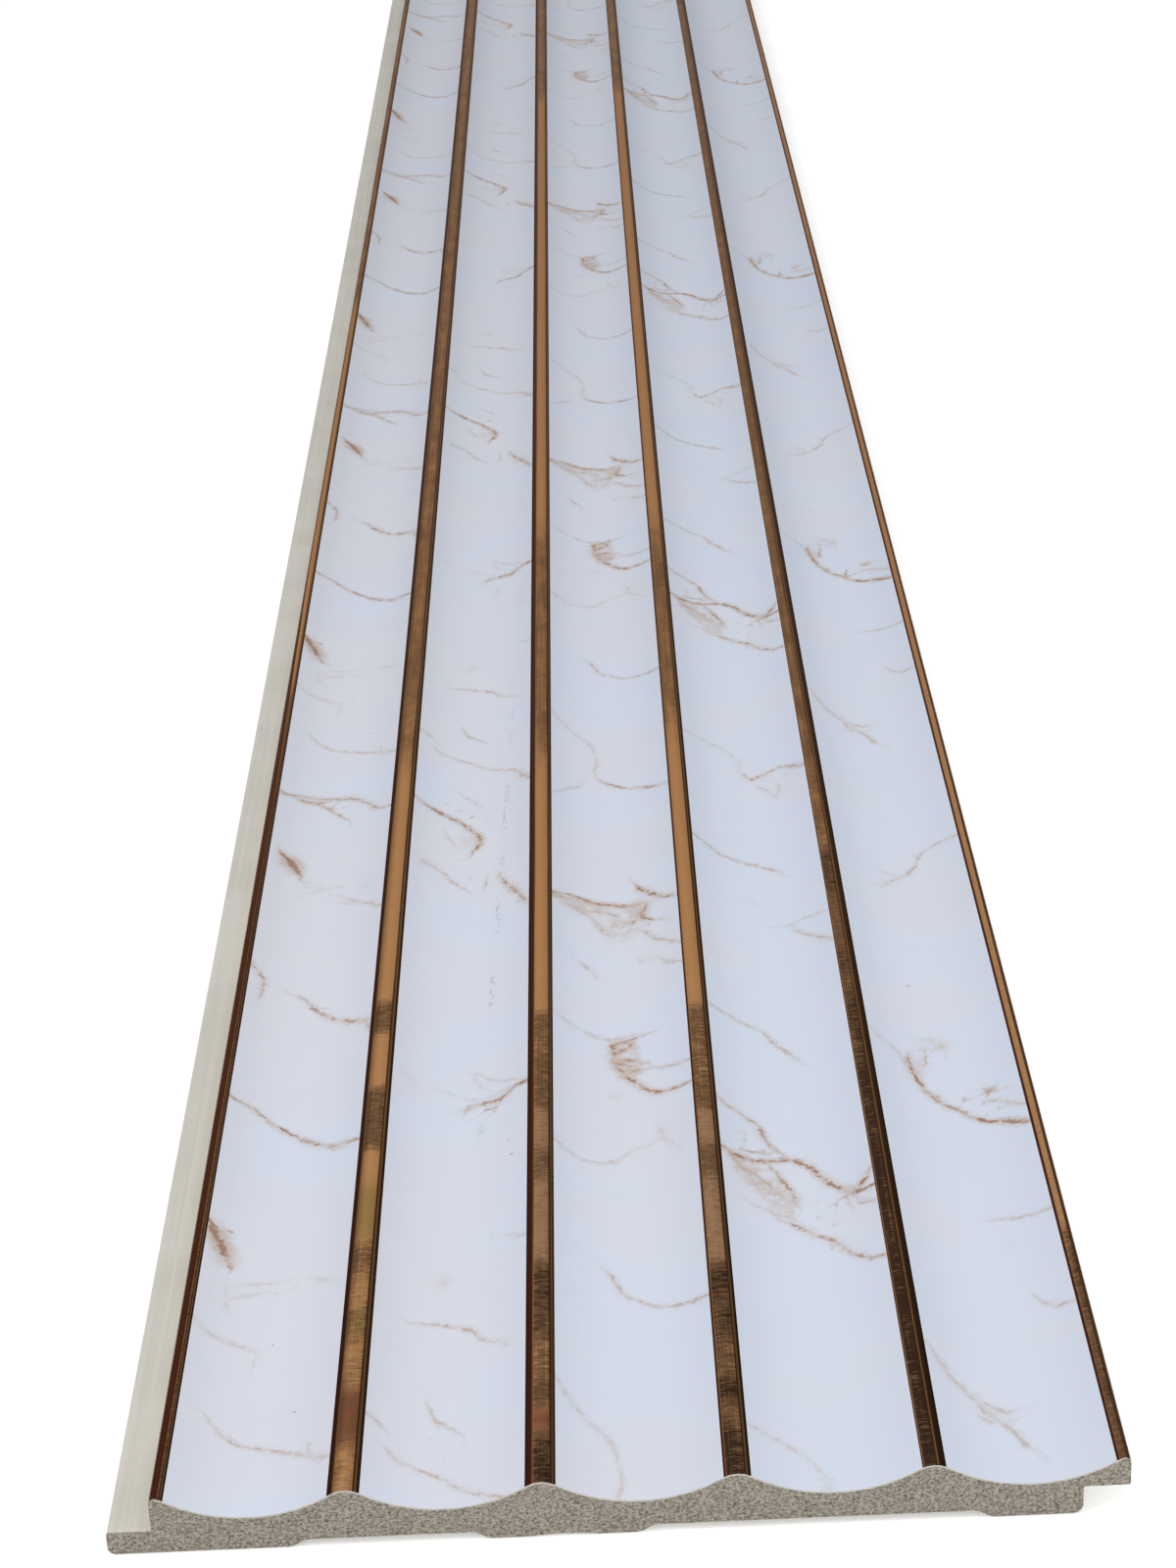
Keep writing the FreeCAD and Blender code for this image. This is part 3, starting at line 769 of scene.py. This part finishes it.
# The painted reflections of each ridge: from one place along to another, and the tone between them.
foil_painted_reflections = [
    [(-40, 260, DARK), (150, 320, DULL), (620, 3000, CALM)],
    [(-9, 60, PALE), (12, 27, REDDISH), (41, 50, GOLDEN), (61, 71, DULL), (72, 89, GOLDEN),
     (101, 124, DIMMED), (144, 157, DIMMED), (262, 3000, CALM)],
    [(-9, 13, SMOKY), (13, 20, REDDISH), (20, 27, DARK), (28, 40, DULL), (40, 50, DARK), (50, 61, SMOKY),
     (61, 113, GREYED), (88, 99, PALE), (113, 131, DIMMED), (131, 151, DULL), (262, 420, CALM),
     (880, 3000, CALM)],
    [(-9, 13, SMOKY), (13, 20, RED_BROWN), (20, 25, SMOKY), (25, 38, DIMMED), (38, 50, DARK), (50, 59, SMOKY),
     (59, 111, GREYED), (86, 98, PALE), (111, 130, DIMMED), (130, 151, DULL), (275, 420, CALM),
     (890, 3000, CALM)],
    [(-9, 60, DEEP), (60, 122, DEEP), (122, 150, SMOKY), (150, 172, DARK), (172, 215, DIMMED),
     (205, 3000, DULL)],
    [(-9, 66, DULL), (-9, 3000, FAINT_GREY)],
]
# A short painted reflection fades quickly at its ends, and a longer one slowly.
SHORT_REFLECTION = 100
SHORT_FADE = 5
LONG_FADE = 40
# Where the painted dark reflection on the left edge of each ridge ends and the one on its right edge starts,
# from -1 at the left to 1.
PAINTED_DARK_EDGES = [(0.25, 0.45), (-0.68, 0.52), (-0.50, 0.60), (-0.80, 0.52), (-0.86, 0.15), (-0.58, 0.30)]
WIDEST_HALF = RIDGE_WIDTH / 2 + 0.6
# Further along, the painted dark reflection on the left edge of the first ridge draws back.
DRAWS_BACK_FROM = 280
DRAWS_BACK_OVER = 120
DRAWN_BACK = 0.8

ridge_place = np.zeros((ROWS + 1, columns, 3))
reflection_tones = np.zeros((ROWS + 1, columns, 3))
for column, x in enumerate(face_x):
    number, aside = ridge_near(x)
    lean = aside / min(FOIL_EDGES[number][int(aside > 0)], WIDEST_HALF)
    if number in (0, FLUTES):
        lean = (lean - 0.5) * 2 if number == 0 else (lean + 0.5) * 2
    ridge_place[:, column] = (lean, *PAINTED_DARK_EDGES[number])
    if number == 0:
        ridge_place[:, column, 1] -= DRAWN_BACK * np.clip((along - DRAWS_BACK_FROM) / DRAWS_BACK_OVER, 0, 1)
    for first, last, tone in foil_painted_reflections[number]:
        soft = SHORT_FADE if last - first < SHORT_REFLECTION else LONG_FADE
        share = np.clip(np.minimum(along - first, last - along) / soft + 0.5, 0, 1)
        reflection_tones[:, column] += share[:, None] * tone
values = np.zeros((len(vertices), 3), np.float32)
values[:grid_size] = ridge_place.reshape(-1, 3)
store("ridge_place", values)
values[:grid_size] = np.minimum(reflection_tones, 1).reshape(-1, 3)
store("foil_reflection_tones", values)

# COPPER is the foil's own colour. GOLD, GREYED_COPPER, RED_COPPER, BROWN and DARK_BRONZE are tones of its
# painted reflections.
COPPER = (0.425, 0.222, 0.092, 1)
GOLD = (0.27, 0.175, 0.06, 1)
GREYED_COPPER = (0.27, 0.17, 0.105, 1)
RED_COPPER = (0.16, 0.052, 0.03, 1)
BROWN = (0.135, 0.075, 0.038, 1)
DARK_BRONZE = (0.028, 0.016, 0.011, 1)
# Colours of the painted dark reflections along each ridge's left and right edges.
PAINTED_EDGE_MAROON = (0.052, 0.013, 0.008, 1)
PAINTED_EDGE_BRONZE = (0.024, 0.011, 0.005, 1)
CHATTER_TINT = (0.8, 0.72, 0.66, 1)
FLAT_VIEW_TINT = (0.84, 0.67, 0.58, 1)
# Between these places along the panel the chatter calms down, and it stays faint from there on.
CALM_FROM, CALM_TO = 180, 280
copper_foil, shader, place = finish_named("copper_foil")
x, y, z = place.parts()
lean, left_edge, right_edge = place.stored("ridge_place", "Vector").parts()
darkness, redness, goldness = place.stored("foil_reflection_tones", "Vector").parts()
chatter = place.scaled(0.34, 1.7, 1).noise(1.0, 4, 0.75)
streaks = place.scaled(3.4, 0.02, 1).noise(1.0, 2)
drift = place.scaled(0.25, 0.09, 1).noise(1.0, 2)
calm = 1 - 0.75 * y.step(low[1] + CALM_FROM, low[1] + CALM_TO)
unrest = 2.6 * (chatter - 0.5) * calm + 0.8 * (drift - 0.5) + 0.9 * (streaks - 0.5)
# The painted reflections darken the foil in patches, stirred by the chatter, the drift and the streaks.
reflection_darkness = darkness + unrest * (0.1 + darkness)
metal = goldness.mix(COPPER, GOLD)
metal = redness.mix(metal, RED_COPPER)
metal = (goldness * -1).mix(metal, GREYED_COPPER)
metal = reflection_darkness.step(0.12, 0.5).mix(metal, BROWN)
metal = reflection_darkness.step(0.55, 0.95).mix(metal, DARK_BRONZE)
# Painted dark reflections along both edges of each ridge: maroon on the left, bronze on the right.
edge_wobble = lean + 0.14 * (streaks - 0.5)
left_side = (edge_wobble - left_edge).step(0.05, -0.05)
right_side = (edge_wobble - right_edge).step(-0.05, 0.05)
metal = left_side.mix(metal, PAINTED_EDGE_MAROON)
metal = right_side.mix(metal, PAINTED_EDGE_BRONZE)
# Thin painted highlight lines of bright copper near the borders of the painted dark edges.
left_highlight_line = (lean - left_edge).math("ABSOLUTE").step(0.09, 0.02)
right_highlight_line = (lean - right_edge - 0.2).math("ABSOLUTE").step(0.12, 0.03)
painted_highlight_lines = left_highlight_line + right_highlight_line
metal = (painted_highlight_lines * (0.05 + 0.6 * streaks)).mix(metal, COPPER)
feed(shader, "Base Color", (chatter.step(0.35, 0.65) * 0.3).mix(metal, CHATTER_TINT, "MULTIPLY"))
shader.inputs["Metallic"].default_value = 1.0
shader.inputs["Specular Tint"].default_value = FLAT_VIEW_TINT
feed(shader, "Roughness", 0.2 + 0.16 * chatter)
bumped(shader, chatter + 0.5 * streaks, 0.02)
mesh.materials.append(copper_foil)

# The bare skin
# The foam's own cream skin on the tongue, the side walls, the lip and the back. It is dense and satin, with
# faint lines along the panel where it slid through the die.
SKIN_CREAM = (0.53, 0.51, 0.455, 1)
SKIN_SHADE = (0.485, 0.465, 0.41, 1)
bare_skin, shader, place = finish_named("bare_skin")
lines = place.scaled(1.6, 0.012, 1.6).noise(1.0, 3)
mottle = place.noise(0.06, 3)
feed(shader, "Base Color", (0.5 * lines + 0.5 * mottle).step(0.4, 0.62).mix(SKIN_CREAM, SKIN_SHADE))
feed(shader, "Roughness", 0.55 + 0.2 * lines)
shader.inputs["Specular IOR Level"].default_value = 0.15
bumped(shader, lines + 0.3 * place.noise(1.2, 3), 0.03)
mesh.materials.append(bare_skin)

# The sawn foam
# Both ends show the foam's inside: grey-beige, closed cells under a millimetre, torn by the saw, with the
# denser skin as a thin pale line under the print.
values = np.zeros(len(vertices), np.float32)
values[list(skin_depth)] = list(skin_depth.values())
store("skin_depth", values)
FOAM_MIDDLE = (0.235, 0.208, 0.168, 1)
FOAM_PALE = (0.435, 0.40, 0.335, 1)
FOAM_HOLLOW_SHADE = (0.066, 0.055, 0.042, 1)
SKIN_LINE = (0.61, 0.58, 0.51, 1)
sawn_foam, shader, place = finish_named("sawn_foam")
depth = place.stored("skin_depth")
cells = place.scaled(0.8, 1, 1.1).noise(2.4, 3, 0.65)
fine = place.add("ShaderNodeTexVoronoi", {"feature": "F1"}, {"Vector": place, "Scale": 3.2})
foam = cells.step(0.42, 0.62).mix(FOAM_MIDDLE, FOAM_PALE)
# Painted shade in the hollows of the torn cells, where the relief dips.
foam = (cells + 0.3 * (fine - 0.4)).step(0.46, 0.30).mix(foam, FOAM_HOLLOW_SHADE)
feed(shader, "Base Color", (depth + 0.12 * cells).step(0.42, 0.30).mix(foam, SKIN_LINE))
shader.inputs["Roughness"].default_value = 0.85
shader.inputs["Specular IOR Level"].default_value = 0.25
bumped(shader, cells * 1.4 - fine, 0.25)
mesh.materials.append(sawn_foam)

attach(panel, "root")
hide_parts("panel")

# The floor
# A plain pale studio floor that runs on to the horizon. The panel lies on it on its back pads.
FLOOR_SIZE = 80
FLOOR_DROP = 0.0002
bpy.ops.mesh.primitive_plane_add(size=FLOOR_SIZE, location=(0, 0, -FLOOR_DROP))
floor = bpy.context.object
floor.name = "floor"
pale_floor, shader, place = finish_named("pale_floor")
FLOOR_WHITE = (0.90, 0.90, 0.90, 1)
FLOOR_SHADE = (0.88, 0.88, 0.88, 1)
feed(shader, "Base Color", place.noise(0.002, 2).step(0.3, 0.7).mix(FLOOR_WHITE, FLOOR_SHADE))
shader.inputs["Emission Color"].default_value = FLOOR_WHITE
shader.inputs["Emission Strength"].default_value = 0.3
shader.inputs["Roughness"].default_value = 0.9
shader.inputs["Specular IOR Level"].default_value = 0.1
floor.data.materials.append(pale_floor)

# The light
# Soft studio light: a long bright strip overhead, in line with the panel, between dimmer sides. It is
# brighter to the left and dimmer near the horizon. Two round softboxes light the sawn near end.
STRIP_LIGHT = 0.99
SIDE_LIGHT = 0.47
STRIP_HALF = 0.95
STRIP_FADE = 0.35
LEFT_SHARE = 0.47
HORIZON_LIGHT = 0.28
HORIZON_FADE = (0.08, 0.46)
BLUE_SHARE = 1.02
world = bpy.data.worlds.new("studio")
world.use_nodes = True
background = world.node_tree.nodes["Background"]
toward = Wire(world.node_tree).add("ShaderNodeTexCoord", output="Generated")
x, y, z = toward.parts()
height = z.math("MAXIMUM", 0.02)
strip = (x / height).math("ABSOLUTE").step(STRIP_HALF + STRIP_FADE, STRIP_HALF - STRIP_FADE)
light = (strip * (STRIP_LIGHT - SIDE_LIGHT) + SIDE_LIGHT) * (1 - LEFT_SHARE * x)
light = light * (HORIZON_LIGHT + (1 - HORIZON_LIGHT) * z.step(*HORIZON_FADE))
light_color = light.add("ShaderNodeCombineXYZ", None, {"X": light, "Y": light, "Z": light * BLUE_SHARE})
world.node_tree.links.new(light_color.socket, background.inputs["Color"])
bpy.context.scene.world = world

# Name, place in metres and energy of each softbox. Both face a point a little in from the near end.
SOFTBOX_SIZE = 0.8
SOFTBOXES = [("left_softbox", (-0.62, -1.62, 0.7), 3.9), ("right_softbox", (0.95, -1.62, 0.5), 5.7)]
SOFTBOX_TARGET = Vector((0, -1.3, 0))
for name, spot, energy in SOFTBOXES:
    lamp_data = bpy.data.lights.new(name, "AREA")
    lamp_data.shape = "DISK"
    lamp_data.size = SOFTBOX_SIZE
    lamp_data.energy = energy
    lamp = bpy.data.objects.new(name, lamp_data)
    lamp.location = spot
    lamp.rotation_euler = (SOFTBOX_TARGET - lamp.location).to_track_quat("-Z", "Y").to_euler()
    bpy.context.collection.objects.link(lamp)
bpy.context.scene.view_settings.view_transform = "Standard"
